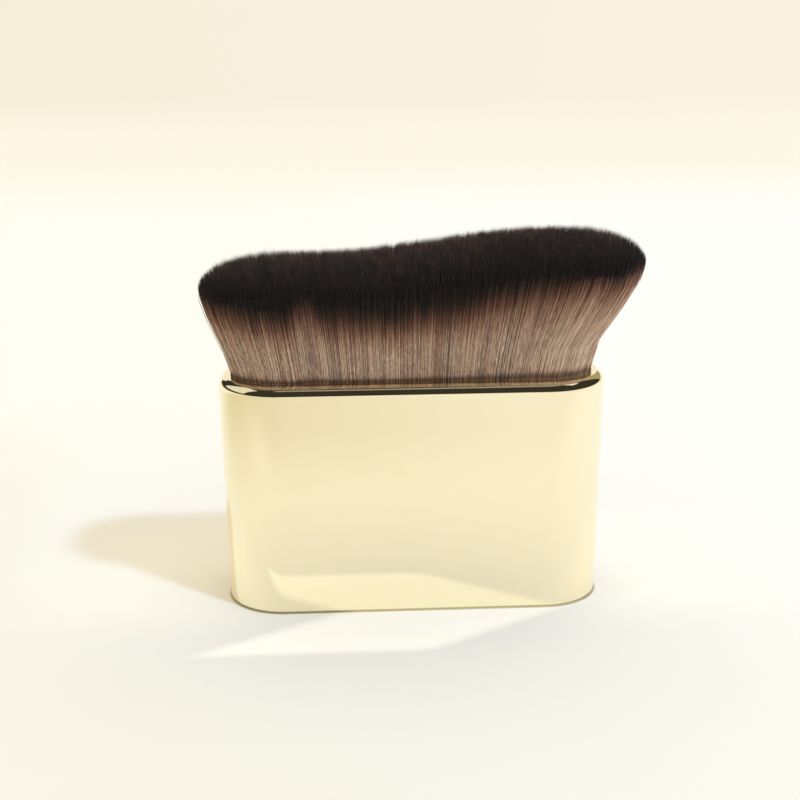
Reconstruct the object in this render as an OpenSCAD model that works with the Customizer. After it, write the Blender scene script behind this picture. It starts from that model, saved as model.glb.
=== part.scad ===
// Flat-handled foundation brush: a plated shell that holds a wave-cut head of bristles.
// Units are millimetres. The origin is the middle of the base, +Z points up to the bristles,
// +X points to the high end of the wave, and -Y is the front.

/* [Handle shell] */
// Width of the handle across its lip
handle_w = 68; // [60:1:80]
// Depth of the handle across its lip
handle_d = 25; // [22:0.5:32]
// Height of the handle from the table to the top of its lip
handle_h = 41; // [36:0.5:52]
// Radius of the handle's upright corners, seen from above
corner_r = 11; // [9:0.5:13]
// How far each wall leans in between the lip and the base
base_inset = 0.7; // [0.4:0.1:1.2]
// Wall thickness at the base
wall_t = 1.8; // [1.5:0.1:2.4]
// Width of the lip at the two ends
lip_end_w = 2.3; // [2.2:0.1:3]
// Width of the lip at the front and back
lip_face_w = 3.1; // [2.6:0.1:3.4]
// Radius of the lip's outer edge
lip_outer_r = 1.8; // [1:0.1:1.9]
// Bevel of the lip's inner edge
lip_bevel = 0.3; // [0.2:0.1:0.4]
// Bevel of the shell's bottom edge
base_bevel = 0.6; // [0.3:0.1:0.7]
// Depth of the mouth from the lip to the ledge that carries the bristle cup
mouth_depth = 9; // [8:0.5:13]
// How far the ledge reaches in from the cavity's wall
ledge_w = 1.8; // [1.6:0.1:2.4]
// Thickness of the ledge
ledge_t = 1.2; // [0.8:0.1:1.8]

/* [Base cover] */
// Thickness of the cover's plate
cover_t = 1.6; // [1.2:0.1:2.2]
// Width of the step in the shell that the plate sits in
rebate_w = 0.7; // [0.4:0.1:0.8]
// Height of the cover's skirt above its plate
skirt_h = 5; // [3:0.5:8]
// Thickness of the cover's skirt
skirt_t = 1.2; // [0.8:0.1:1.6]
// Height of the fence around the ballast
fence_h = 5; // [3:0.5:8]
// Thickness of the fence around the ballast
fence_t = 1.2; // [0.8:0.1:1.6]

/* [Ballast] */
// Length of the ballast bar
ballast_l = 44; // [30:1:50]
// Width of the ballast bar
ballast_w = 11; // [8:0.5:13]
// Height of the ballast bar
ballast_h = 10; // [6:0.5:14]
// Radius of the ballast bar's upright edges
ballast_edge_r = 1.5; // [0.5:0.1:2.5]
// Thickness of the foam pad under the ballast bar
pad_t = 1.5; // [1:0.1:3]

/* [Inner frame] */
// Thickness of the frame's ring wall
frame_t = 1.2; // [0.8:0.1:1.6]
// Thickness of the frame's deck
deck_t = 1.4; // [1:0.1:2.4]
// Number of ribs that press on the ballast bar
rib_count = 3; // [2:1:5]
// Thickness of each pressing rib
rib_t = 1.4; // [1:0.1:2]

/* [Bristle cup] */
// Height of the cup
cup_h = 5.4; // [4.8:0.2:7]
// Wall and floor thickness of the cup
cup_t = 0.6; // [0.4:0.1:0.8]
// Thickness of the resin bed under the roots
bed_t = 1.4; // [1:0.1:2]
// Thickness of the bonded root block of each bunch
root_t = 2.2; // [1.6:0.1:2.6]
// Gap between the root blocks of two bunches
bunch_gap = 0.2; // [0.1:0.1:0.5]

/* [Bristle head] */
// How far the head flares past the handle at its low end
low_flare = 3.5; // [0.5:0.1:8]
// How far the head flares past the handle at its high end
high_flare = 7.3; // [0.5:0.1:10]
// How far the head flares past the handle at its front and back
face_flare = 2; // [0.5:0.1:3]
// Radius of the head's corners, seen from above
head_r = 12.5; // [8:0.5:13]
// Height of the low crest above the lip
low_crest_h = 21.2; // [16:0.2:30]
// Height of the high crest above the lip
high_crest_h = 24.9; // [18:0.2:34]
// Distance from the middle to where the wave starts to rise, on the low side
rise_start_w = 16; // [8:0.5:20]
// Distance from the middle to where the wave stops rising, on the high side
rise_end_w = 24; // [16:0.5:28]
// Length of the rounding at the low end
low_round_w = 19; // [8:0.5:24]
// Length of the rounding at the high end
high_round_w = 13.8; // [8:0.5:20]
// Drop of the tips from the crest to the rim of the head
rim_drop = 6; // [3:0.5:8]
// Rows of strands from front to back
strand_rows = 10; // [6:1:10]
// Columns of strands in the low, middle and high bunches
bunch_columns = [8, 18, 8]; // [6:1:24]

/* [Fits] */
// Gap on each side between pieces that slide together
fit_gap = 0.1; // [0.05:0.05:0.2]
// Gap on each side between the ballast bar and its fence
ballast_gap = 0.3; // [0.1:0.1:0.5]
// Gap on each side around poured resin and bonded roots
bond_gap = 0.05; // [0.05:0.05:0.2]
// Distance from the edge of the root blocks to the first strands
root_margin = 0.8; // [0.6:0.05:1.2]
// Gap between the lip and the strands that pass it
lip_gap = 0.3; // [0.2:0.05:0.8]

/* [Hidden] */
$fn = 96;
// How far a cut runs past the face that it opens
overrun = 1;
// Length by which a strand is let into its root block
strand_embed = 0.6;

// Largest corner radius as a share of half the piece's depth
corner_limit_share = 0.98;
// Share of its cell that a strand fills below the lip
fill_share = 0.8;
// Share of its cell that a strand fills at its tip
tip_fill_share = 0.68;
// Part of the head's spread that grows evenly from the middle to the ends
even_spread_share = 0.45;
// Power of the curve that rounds the head's rim
rim_power = 2.4;
// Power of the curve that joins the rounding of the ends with that of the front and back
corner_power = 6;
// Place of the outermost pressing ribs as a share of half the ballast's length
rib_spread_share = 0.7;

mouth_w = handle_w - 2 * lip_end_w;
mouth_d = handle_d - 2 * lip_face_w;
mouth_r = corner_r - lip_end_w;
cavity_w = handle_w - 2 * (base_inset + wall_t);
cavity_d = handle_d - 2 * (base_inset + wall_t);
cavity_r = corner_r - base_inset - wall_t;
ledge_opening_w = cavity_w - 2 * ledge_w;
ledge_opening_d = cavity_d - 2 * ledge_w;
ledge_opening_r = cavity_r - ledge_w;
seat_z = handle_h - mouth_depth;
ledge_z = seat_z - ledge_t;
skirt_top_z = cover_t + skirt_h;
ballast_z = cover_t + pad_t;
ballast_top_z = ballast_z + ballast_h;

cup_w = mouth_w - 2 * fit_gap;
cup_d = mouth_d - 2 * fit_gap;
cup_r = mouth_r - fit_gap;
cup_inner_w = cup_w - 2 * cup_t;
cup_inner_d = cup_d - 2 * cup_t;
cup_inner_r = cup_r - cup_t;
bed_z = seat_z + cup_t;
root_z = bed_z + bed_t;
root_top_z = root_z + root_t;
root_w = cup_inner_w - 2 * bond_gap;
root_d = cup_inner_d - 2 * bond_gap;
root_r = cup_inner_r - bond_gap;

head_low_w = handle_w / 2 + low_flare;
head_high_w = handle_w / 2 + high_flare;
head_d = handle_d + 2 * face_flare;

// The field is the rounded rectangle in which strands leave the root blocks.
field_w = root_w - 2 * root_margin;
field_d = root_d - 2 * root_margin;
column_total = bunch_columns[0] + bunch_columns[1] + bunch_columns[2];
column_w = field_w / column_total;

// Plans of the head at its roots, where it passes the lip, and at its tips. Each is the reach to
// the low end, the reach to the high end, the depth and the corner radius.
roots_plan = [field_w / 2, field_w / 2, field_d, held_r(root_r - root_margin, field_d)];
lip_plan = [
    mouth_w / 2 - lip_gap, mouth_w / 2 - lip_gap, mouth_d - 2 * lip_gap,
    held_r(mouth_r - lip_gap, mouth_d - 2 * lip_gap)
];
tips_plan = [head_low_w, head_high_w, head_d, held_r(head_r, head_d)];

// A corner radius, limited so that a sliver of flat stays between two corners
function held_r(r, d) = min(r, d / 2 * corner_limit_share);

// Rounded rectangle, centred on the origin
module rounded_rect(w, d, r) {
    c = held_r(r, d);
    square([w - 2 * c, d], center = true);
    square([w, d - 2 * c], center = true);
    for (x = [-1, 1], y = [-1, 1])
        translate([x * (w / 2 - c), y * (d / 2 - c)]) circle(c);
}

// Upright block with a rounded rectangle as its plan, from height z up
module block(w, d, r, z, h) {
    translate([0, 0, z]) linear_extrude(h) rounded_rect(w, d, r);
}

// Upright ring, open in the middle, from height z up
module ring(w, d, r, t, z, h) {
    translate([0, 0, z]) linear_extrude(h) difference() {
        rounded_rect(w, d, r);
        rounded_rect(w - 2 * t, d - 2 * t, r - t);
    }
}

// Carries an edge profile round a rounded rectangle. The profile's x runs outwards from the
// axis of a corner, and its y is height.
module carried_round(w, d, r) {
    for (side = [0, 1]) mirror([side, 0, 0]) {
        for (face = [0, 1]) mirror([0, face, 0])
            translate([w / 2 - r, d / 2 - r, 0]) rotate_extrude(angle = 90) children();
        translate([w / 2 - r, d / 2 - r, 0]) rotate([90, 0, 0]) linear_extrude(d - 2 * r) children();
    }
    for (face = [0, 1]) mirror([0, face, 0])
        translate([r - w / 2, d / 2 - r, 0]) rotate([90, 0, 90]) linear_extrude(w - 2 * r) children();
}

// Section of the shell's outside: a leaning wall between a bevelled bottom edge and a rounded lip
module outside_profile(r) {
    foot_r = r - base_inset;
    polygon([
        [0, 0], [foot_r - base_bevel, 0], [foot_r, base_bevel], [r, handle_h - lip_outer_r],
        [r - lip_outer_r, handle_h - lip_outer_r], [r - lip_outer_r, handle_h], [0, handle_h]
    ]);
    translate([r - lip_outer_r, handle_h - lip_outer_r]) circle(lip_outer_r);
}

// The shell's outside as a solid block
module outside_block() {
    r = held_r(corner_r, handle_d);
    carried_round(handle_w, handle_d, r) outside_profile(r);
    translate([0, 0, handle_h / 2]) cube([handle_w - r, handle_d - r, handle_h], center = true);
}

// Section of the cut that bevels the lip's inner edge
module bevel_profile(r) {
    polygon([
        [0, handle_h - lip_bevel], [r, handle_h - lip_bevel], [r + lip_bevel, handle_h],
        [r + lip_bevel, handle_h + overrun], [0, handle_h + overrun]
    ]);
}

// One-piece shell: lip and mouth above, a ledge for the cup, and a cavity that opens at the base
module handle_shell() {
    color([0.94, 0.89, 0.70]) difference() {
        outside_block();
        block(mouth_w, mouth_d, mouth_r, seat_z, mouth_depth + overrun);
        carried_round(mouth_w, mouth_d, held_r(mouth_r, mouth_d))
            bevel_profile(held_r(mouth_r, mouth_d));
        block(ledge_opening_w, ledge_opening_d, ledge_opening_r, ledge_z - overrun, ledge_t + 2 * overrun);
        block(cavity_w, cavity_d, cavity_r, -overrun, ledge_z + overrun);
        block(cavity_w + 2 * rebate_w, cavity_d + 2 * rebate_w, cavity_r + rebate_w,
              -overrun, cover_t + overrun);
    }
}

// Cover that closes the base, flush with the shell, with a skirt and a fence for the ballast
module base_cover() {
    inset = rebate_w - fit_gap;
    fence_l = ballast_l + 2 * (ballast_gap + fence_t);
    fence_w = ballast_w + 2 * (ballast_gap + fence_t);
    fence_r = ballast_edge_r + ballast_gap + fence_t;
    color([0.93, 0.87, 0.67]) union() {
        block(cavity_w + 2 * inset, cavity_d + 2 * inset, cavity_r + inset, 0, cover_t);
        ring(cavity_w - 2 * fit_gap, cavity_d - 2 * fit_gap, cavity_r - fit_gap, skirt_t, 0, skirt_top_z);
        ring(fence_l, fence_w, fence_r, fence_t, 0, cover_t + fence_h);
    }
}

// Foam pad that takes up play under the ballast bar
module foam_pad() {
    color([0.16, 0.16, 0.17]) block(ballast_l, ballast_w, ballast_edge_r, cover_t, pad_t);
}

// Steel bar that gives the handle its weight
module ballast_bar() {
    color([0.56, 0.57, 0.58]) block(ballast_l, ballast_w, ballast_edge_r, ballast_z, ballast_h);
}

// Frame between the cover's skirt and the shell's ledge. Its ribs hold the ballast bar down, and
// its boss carries the floor of the bristle cup.
module inner_frame() {
    outer_w = cavity_w - 2 * fit_gap;
    outer_d = cavity_d - 2 * fit_gap;
    outer_r = cavity_r - fit_gap;
    deck_z = ledge_z - deck_t;
    rib_step = rib_spread_share * ballast_l / (rib_count - 1);
    color([0.20, 0.20, 0.21]) union() {
        ring(outer_w, outer_d, outer_r, frame_t, skirt_top_z, ledge_z - skirt_top_z);
        block(outer_w, outer_d, outer_r, deck_z, deck_t);
        block(ledge_opening_w - 2 * fit_gap, ledge_opening_d - 2 * fit_gap,
              ledge_opening_r - fit_gap, deck_z, seat_z - deck_z);
        for (i = [0 : rib_count - 1])
            translate([(i - (rib_count - 1) / 2) * rib_step - rib_t / 2, -outer_d / 2 + frame_t / 2,
                       ballast_top_z])
                cube([rib_t, outer_d - frame_t, deck_z - ballast_top_z + deck_t / 2]);
    }
}

// Drawn aluminium cup that the roots are bonded into
module bristle_cup() {
    color([0.80, 0.81, 0.82]) difference() {
        block(cup_w, cup_d, cup_r, seat_z, cup_h);
        block(cup_inner_w, cup_inner_d, cup_inner_r, bed_z, cup_h);
    }
}

// Bed of cured resin between the cup's floor and the roots
module root_resin() {
    color([0.72, 0.60, 0.36]) block(root_w, root_d, root_r, bed_z, bed_t);
}

// Smooth step from 0 to 1
function eased(t) = let (c = max(0, min(1, t))) c * c * (3 - 2 * c);

// A point of the head is u across and v deep. Both run from -1 to 1 over the whole of each plan.
function reach_of(plan, u) = plan[u < 0 ? 0 : 1];
function depth_of(plan) = plan[2];
function corner_of(plan) = plan[3];

// Share of the half width at which the end bunch on that side starts
function bunch_edge(u) = 1 - 2 * bunch_columns[u < 0 ? 0 : 2] / column_total;

// Distance from the middle at u in a plan with that reach. The ends spread more than the middle.
function spread(u, reach) =
    let (a = abs(u))
    let (widening = even_spread_share * a + (1 - even_spread_share) * pow(a, 3))
    a * field_w / 2 + (reach - field_w / 2) * widening;

// Distance from the middle at which the outer face of the row at v meets the plan's rounded end
function row_end(plan, u, v) =
    let (r = corner_of(plan))
    let (face = (abs(v) + fill_share / strand_rows) * depth_of(plan) / 2)
    let (past = max(0, face - depth_of(plan) / 2 + r))
    reach_of(plan, u) - r + sqrt(max(0, r * r - past * past));

// Place across of a point in the row at v. The end bunches are drawn in to the row's end.
function place_x(plan, u, v) =
    let (reach = reach_of(plan, u))
    let (x = spread(u, reach))
    let (edge = spread(bunch_edge(u), reach))
    let (drawn_in = edge + (x - edge) * (row_end(plan, u, v) - edge) / (reach - edge))
    sign(u) * (x <= edge ? x : drawn_in);

// The four corners of a strand's section at height z. It fills that share of its cell in the plan.
function section(plan, u, v, cell_share, z) = [
    for (corner = [[-1, -1], [1, -1], [1, 1], [-1, 1]])
        [
            place_x(plan, u + corner[0] * cell_share / column_total, v),
            (v + corner[1] * cell_share / strand_rows) * depth_of(plan) / 2,
            z
        ]
];

// How far into the rounded rim a tip lies, from 0 on the crest to 1 at the edge
function rim_reach(u, v) =
    let (round_w = u < 0 ? low_round_w : high_round_w)
    let (half_cell = reach_of(tips_plan, u) / column_total)
    let (inside = row_end(tips_plan, u, v) - abs(place_x(tips_plan, u, v)) - half_cell)
    let (along = max(0, 1 - inside / round_w))
    min(1, pow(pow(along, corner_power) + pow(abs(v), corner_power), 1 / corner_power));

// Height of a tip above the table
function tip_z(u, v) =
    let (x = place_x(tips_plan, u, v))
    let (rise = eased((x + rise_start_w) / (rise_end_w + rise_start_w)))
    let (fall = 1 - pow(1 - pow(rim_reach(u, v), rim_power), 1 / rim_power))
    handle_h + low_crest_h + (high_crest_h - low_crest_h) * rise - rim_drop * fall;

// Four-sided strand: let into the roots, upright to the lip, and leaning outwards to its tip
module strand(u, v) {
    let_in = section(roots_plan, u, v, fill_share, root_top_z - strand_embed);
    at_lip = section(lip_plan, u, v, fill_share, handle_h);
    tip = section(tips_plan, u, v, tip_fill_share, tip_z(u, v));
    top = len(let_in) + len(at_lip);
    ends = [for (k = [1, 2]) each [[0, k, k + 1], [top, top + k + 1, top + k]]];
    sides = [
        for (level = [0, 4], k = [0 : 3])
            let (next = (k + 1) % 4)
            each [
                [level + k, level + 4 + k, level + 4 + next],
                [level + k, level + 4 + next, level + next]
            ]
    ];
    polyhedron(concat(let_in, at_lip, tip), concat(ends, sides));
}

// One bunch of strands on its slice of the bonded roots. Every other row is set over by half a column.
module bunch(first_column, columns) {
    last_column = first_column + columns;
    start_x = first_column * column_w - field_w / 2;
    end_x = last_column * column_w - field_w / 2;
    low_x = first_column == 0 ? -root_w / 2 : start_x + bunch_gap / 2;
    high_x = last_column == column_total ? root_w / 2 : end_x - bunch_gap / 2;
    translate([0, 0, root_z]) linear_extrude(root_t) intersection() {
        rounded_rect(root_w, root_d, root_r);
        translate([low_x, -root_d / 2]) square([high_x - low_x, root_d]);
    }
    for (row = [0 : strand_rows - 1])
        for (column = [0 : columns - 1 - row % 2])
            let (place = first_column + column + (1 + row % 2) / 2)
            strand(2 * place / column_total - 1, (2 * row + 1) / strand_rows - 1);
}

// Bunch at the low end of the wave
module bristles_low() {
    color([0.30, 0.22, 0.20]) bunch(0, bunch_columns[0]);
}

// Bunch in the middle
module bristles_middle() {
    color([0.30, 0.22, 0.20]) bunch(bunch_columns[0], bunch_columns[1]);
}

// Bunch at the high end of the wave
module bristles_high() {
    color([0.30, 0.22, 0.20]) bunch(bunch_columns[0] + bunch_columns[1], bunch_columns[2]);
}

handle_shell();
base_cover();
foam_pad();
ballast_bar();
inner_frame();
bristle_cup();
root_resin();
bristles_low();
bristles_middle();
bristles_high();
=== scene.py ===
# %% [markdown]
# # A foundation brush with a plated handle
# The brush stands on a table with its hair up. The handle is a deep rounded rectangle of plated
# plastic, and the head is a dense block of dark-tipped hair, flared at both ends and cut to a wave.
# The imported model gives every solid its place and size. This script gives the parts that show
# their surfaces: a swept shell for the handle, and tens of thousands of tapered fibres for the head.

import math
from functools import partial

import bpy
import numpy as np
from mathutils import Matrix, Vector


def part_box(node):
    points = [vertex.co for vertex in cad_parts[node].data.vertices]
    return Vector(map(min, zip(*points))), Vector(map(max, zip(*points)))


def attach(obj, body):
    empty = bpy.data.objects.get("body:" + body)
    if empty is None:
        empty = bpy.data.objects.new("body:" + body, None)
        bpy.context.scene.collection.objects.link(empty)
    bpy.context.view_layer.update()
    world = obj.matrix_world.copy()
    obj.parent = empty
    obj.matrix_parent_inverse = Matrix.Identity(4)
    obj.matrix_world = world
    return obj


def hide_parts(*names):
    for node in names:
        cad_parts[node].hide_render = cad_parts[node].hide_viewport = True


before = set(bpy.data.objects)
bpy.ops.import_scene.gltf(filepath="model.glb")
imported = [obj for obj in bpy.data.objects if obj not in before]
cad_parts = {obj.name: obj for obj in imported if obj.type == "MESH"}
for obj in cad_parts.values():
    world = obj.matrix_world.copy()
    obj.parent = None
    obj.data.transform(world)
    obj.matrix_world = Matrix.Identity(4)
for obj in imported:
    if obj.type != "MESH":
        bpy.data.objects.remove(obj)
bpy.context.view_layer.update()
MM = 0.001
print("solids:", ", ".join(sorted(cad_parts)))

# %% [markdown]
# ## Helpers
# Colours are easiest to judge as the hex values that a colour picker shows, but a shader wants
# linear light, so one function turns them. A second adds a node with its settings and links, which
# keeps each material down to a few readable lines.

# %% Colours and nodes
def linear(hex_colour):
    """Linear RGBA of an sRGB hex colour such as '#F6ECC8'."""
    srgb = np.array([int(hex_colour[i:i + 2], 16) for i in (1, 3, 5)]) / 255
    light = np.where(srgb <= 0.04045, srgb / 12.92, ((srgb + 0.055) / 1.055) ** 2.4)
    return (*light.tolist(), 1.0)


def add_node(tree, kind, settings=None, **inputs):
    """Add a node. Settings are attributes, and inputs are socket values or sockets to link."""
    node = tree.nodes.new(kind)
    for name, value in (settings or {}).items():
        setattr(node, name, value)
    for name, value in inputs.items():
        socket = node.inputs[int(name[1:])] if name[0] == "_" else node.inputs[name.replace("_", " ")]
        if isinstance(value, bpy.types.NodeSocket):
            tree.links.new(value, socket)
        else:
            socket.default_value = value
    return node


def mix_colours(tree, share, first, second, blend="MIX"):
    """Colour socket of two colours or sockets, mixed by share."""
    return add_node(tree, "ShaderNodeMix", {"data_type": "RGBA", "blend_type": blend},
                    _0=share, _6=first, _7=second).outputs[2]


def fill_ramp(ramp_node, stops):
    """Give a Color Ramp its stops: pairs of position and hex colour."""
    elements = ramp_node.color_ramp.elements
    while len(elements) < len(stops):
        elements.new(1.0)
    for element, (position, colour) in zip(elements, stops):
        element.position = position
        element.color = linear(colour)


def new_material(name):
    """A material with an empty node tree, and that tree."""
    material = bpy.data.materials.new(name)
    material.use_nodes = True
    material.node_tree.nodes.clear()
    return material, material.node_tree


def finish_material(tree, shader):
    """Link a shader to the surface output."""
    output = add_node(tree, "ShaderNodeOutputMaterial")
    tree.links.new(shader.outputs[0], output.inputs["Surface"])

# %% [markdown]
# A mesh is made from whole numpy arrays: foreach_set fills it at once, where a loop over vertices
# would take minutes for a head of hair. Every finished piece then says which body it rides on
# and which solids it stands for.

# %% Meshes from arrays
def mesh_from(name, points_mm, faces, material, sharp_angle=None):
    """Object at the origin from points in millimetres, shape (n, 3), and faces, shape (m, 3 or 4)."""
    mesh = bpy.data.meshes.new(name)
    points = np.ascontiguousarray(points_mm, dtype=np.float32) * MM
    corners = np.ascontiguousarray(faces, dtype=np.int32)
    mesh.vertices.add(len(points))
    mesh.vertices.foreach_set("co", points.ravel())
    mesh.loops.add(corners.size)
    mesh.loops.foreach_set("vertex_index", corners.ravel())
    mesh.polygons.add(len(corners))
    mesh.polygons.foreach_set("loop_start", np.arange(0, corners.size, corners.shape[1], dtype=np.int32))
    mesh.update(calc_edges=True)
    mesh.shade_smooth()
    if sharp_angle is not None:
        mesh.set_sharp_from_angle(angle=sharp_angle)
    mesh.materials.append(material)
    piece = bpy.data.objects.new(name, mesh)
    bpy.context.scene.collection.objects.link(piece)
    return piece


def declare(piece, slot, *nodes):
    """Let a finished piece ride on the one body and stand for its solids."""
    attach(piece, "root")
    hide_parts(*nodes)
    piece.data.calc_loop_triangles()
    print(f"{piece.name}: {len(piece.data.loop_triangles)} triangles")


def smooth_step(t):
    """Rise from 0 to 1 with flat ends: three t squared less two t cubed."""
    t = np.clip(t, 0.0, 1.0)
    return t * t * (3.0 - 2.0 * t)

# %% [markdown]
# ## Camera
# The viewpoint was worked out from the handle's straight outlines: a pinhole camera a little
# left of the middle, about 15 degrees up, and close enough for a mild perspective. It could also
# be placed by eye, but then no edge could be compared with a ruler.

# %% Camera
CAMERA_AZIMUTH = math.radians(-2.7513)
CAMERA_ELEVATION = math.radians(14.7191)
CAMERA_ROLL = math.radians(-0.4276)
CAMERA_DISTANCE = 225.34
TARGET_ACROSS, TARGET_HEIGHT = -2.0967, 35.3717
FOCAL_PIXELS, IMAGE_PIXELS = 1260.9, 800
SENSOR_MM = 36.0


def camera_axes(azimuth, elevation, roll):
    """The camera's right, up and backward directions, turned about its own axis by the roll."""
    back = Vector((math.sin(azimuth) * math.cos(elevation),
                   -math.cos(azimuth) * math.cos(elevation), math.sin(elevation)))
    right = Vector((math.cos(azimuth), math.sin(azimuth), 0.0))
    up = back.cross(right)
    rolled_right = right * math.cos(roll) + up * math.sin(roll)
    rolled_up = up * math.cos(roll) - right * math.sin(roll)
    return right, rolled_right, rolled_up, back


level_right, right, up, back = camera_axes(CAMERA_AZIMUTH, CAMERA_ELEVATION, CAMERA_ROLL)
target = level_right * TARGET_ACROSS + Vector((0.0, 0.0, TARGET_HEIGHT))
camera_data = bpy.data.cameras.new("camera")
camera_data.sensor_width = SENSOR_MM
camera_data.lens = FOCAL_PIXELS * SENSOR_MM / IMAGE_PIXELS
camera_data.clip_start = 0.01
camera_data.clip_end = 100.0
camera = bpy.data.objects.new("camera", camera_data)
turn = Matrix((right, up, back)).transposed().to_4x4()
camera.matrix_world = Matrix.Translation((target + back * CAMERA_DISTANCE) * MM) @ turn
bpy.context.scene.collection.objects.link(camera)
bpy.context.scene.camera = camera
bpy.context.scene.view_settings.view_transform = "Standard"
print("lens", round(camera_data.lens, 2), "mm, camera at", [round(v, 3) for v in camera.location])

# %% [markdown]
# ## Light and floor
# A plated surface shows what stands round it, so the room matters as much as the metal. The floor
# is a large pale sheet that runs on to a cream haze. One broad key light stands to the right and
# in front, and the sky fills the rest, a little brighter from the right. The key light is cool and
# the sky is warm: together they leave the lit floor nearly white, and its shadow cream. The
# handle's walls mirror only the floor, because the camera looks down on them. The rounded lip
# mirrors the room above: a dark studio with a few lit things in it. Only mirrors see that room, so
# it draws its crisp lines along the lip and takes no light off the brush.

# %% Sky and key light
SKY_LIGHT = (1.01, 0.93, 0.79, 1.0)
SKY_TILT = 0.3
SEEN_LEFT = "#F6EDD9"
SEEN_RIGHT = "#FAF2E3"
SEEN_REACH = 0.3
KEY_TINT = (0.40, 0.645, 1.0)
KEY_STRENGTH = 1.25
KEY_TOWARDS = Vector((32.0, -29.0, 58.0))
KEY_WIDTH = math.radians(5.0)

world = bpy.data.worlds.new("studio_sky")
bpy.context.scene.world = world
world.use_nodes = True
sky = world.node_tree
sky.nodes.clear()
rays = add_node(sky, "ShaderNodeLightPath").outputs


def either(first, second):
    """1 for a ray of one of two kinds."""
    return add_node(sky, "ShaderNodeMath", {"operation": "MAXIMUM"}, _0=first, _1=second).outputs[0]


seen = either(either(rays["Is Camera Ray"], rays["Is Glossy Ray"]), rays["Is Transmission Ray"])
direction = add_node(sky, "ShaderNodeTexCoord").outputs["Generated"]
bearing = add_node(sky, "ShaderNodeSeparateXYZ", Vector=direction)
sky_strength = add_node(sky, "ShaderNodeMath", {"operation": "MULTIPLY_ADD"}, _0=bearing.outputs["X"],
                        _1=SKY_TILT, _2=1.0)
lighting = add_node(sky, "ShaderNodeBackground", Color=SKY_LIGHT, Strength=sky_strength.outputs[0])
seen_share = add_node(sky, "ShaderNodeMapRange", Value=bearing.outputs["X"], From_Min=-SEEN_REACH,
                      From_Max=SEEN_REACH)
seen_tone = mix_colours(sky, seen_share.outputs[0], linear(SEEN_LEFT), linear(SEEN_RIGHT))
backdrop = add_node(sky, "ShaderNodeBackground", Color=seen_tone, Strength=1.0)
sky_mix = add_node(sky, "ShaderNodeMixShader", Fac=seen, _1=lighting.outputs[0],
                   _2=backdrop.outputs[0])
add_node(sky, "ShaderNodeOutputWorld", Surface=sky_mix.outputs[0])

key_data = bpy.data.lights.new("key_light", "SUN")
key_data.energy = KEY_STRENGTH
key_data.color = KEY_TINT
key_data.angle = KEY_WIDTH
key = bpy.data.objects.new("key_light", key_data)
key.visible_glossy = False
key.rotation_euler = KEY_TOWARDS.to_track_quat("Z", "Y").to_euler()
bpy.context.scene.collection.objects.link(key)

# %% [markdown]
# ### The floor's tones
# The floor's own colour carries painted shading: the slow change of tone that the room's uneven light gives a
# lit paper sweep, warmer at the left than at the right, darker close to the camera, and creamy far out at the
# left. Far behind, it turns into a haze with the backdrop's own tone in that direction, so no horizon shows.
# Each change of tone runs over a span, which is a pair of distances in millimetres.

# %% Floor
FLOOR_HALF = 20000.0
# The floor's tones: painted shading of the room's uneven light on the paper
FLOOR_LEFT = "#F3F0E8"
FLOOR_RIGHT = "#F2F2EF"
FLOOR_FRONT_LEFT = "#F0ECE1"
FLOOR_FRONT_RIGHT = "#F3F1EB"
FLOOR_OUTER_LEFT = "#DFD8C6"
FLOOR_OUTER_RIGHT = "#ECE9E2"
FLOOR_FAR_LEFT = "#D8CFB4"
FLOOR_BEHIND = "#F0EADB"
LEFT_TO_RIGHT = (-90, 110)
OUTER_LEFT_TO_RIGHT = (-55, 45)
BACK_TO_FRONT = (-45, 15)
FRONT_TO_OUTER = (-60, -125)
MAIN_TO_BEHIND = (450, 1150)
FAR_LEFT_ACROSS, FAR_LEFT_DEEP = (-55, -185), (150, 20)
PAPER_TO_HAZE = (900, 4200)
EYE_DISTANCE = 218.0

floor_material, tree = new_material("matt_white_paper_with_painted_light")
place = add_node(tree, "ShaderNodeTexCoord").outputs["Object"]
parts = add_node(tree, "ShaderNodeSeparateXYZ", Vector=place)


def floor_step(value, start_mm, end_mm):
    """Share that rises smoothly from 0 to 1 over a span, and stays so past it."""
    return add_node(tree, "ShaderNodeMapRange", {"interpolation_type": "SMOOTHSTEP"}, Value=value,
                    From_Min=start_mm * MM, From_Max=end_mm * MM).outputs[0]


def floor_math(operation, first, second=0.0):
    """Result of one sum on two values."""
    return add_node(tree, "ShaderNodeMath", {"operation": operation}, _0=first, _1=second).outputs[0]


floor_mix = partial(mix_colours, tree)
floor_x, floor_y = parts.outputs["X"], parts.outputs["Y"]
rightward = floor_step(floor_x, *LEFT_TO_RIGHT)
main_tone = floor_mix(rightward, linear(FLOOR_LEFT), linear(FLOOR_RIGHT))
front_tone = floor_mix(rightward, linear(FLOOR_FRONT_LEFT), linear(FLOOR_FRONT_RIGHT))
outward = floor_step(floor_x, *OUTER_LEFT_TO_RIGHT)
outer_tone = floor_mix(outward, linear(FLOOR_OUTER_LEFT), linear(FLOOR_OUTER_RIGHT))
front_tone = floor_mix(floor_step(floor_y, *FRONT_TO_OUTER), front_tone, outer_tone)
near_tone = floor_mix(floor_step(floor_y, *BACK_TO_FRONT), front_tone, main_tone)
floor_tone = floor_mix(floor_step(floor_y, *MAIN_TO_BEHIND), near_tone, linear(FLOOR_BEHIND))
far_left = floor_math("MULTIPLY", floor_step(floor_x, *FAR_LEFT_ACROSS), floor_step(floor_y, *FAR_LEFT_DEEP))
floor_tone = floor_mix(far_left, floor_tone, linear(FLOOR_FAR_LEFT))
along_view = floor_math("ADD", floor_y, EYE_DISTANCE * MM)
view_share = add_node(tree, "ShaderNodeMapRange", Value=floor_math("DIVIDE", floor_x, along_view),
                      From_Min=-SEEN_REACH, From_Max=SEEN_REACH).outputs[0]
haze_tone = floor_mix(view_share, linear(SEEN_LEFT), linear(SEEN_RIGHT))
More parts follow.
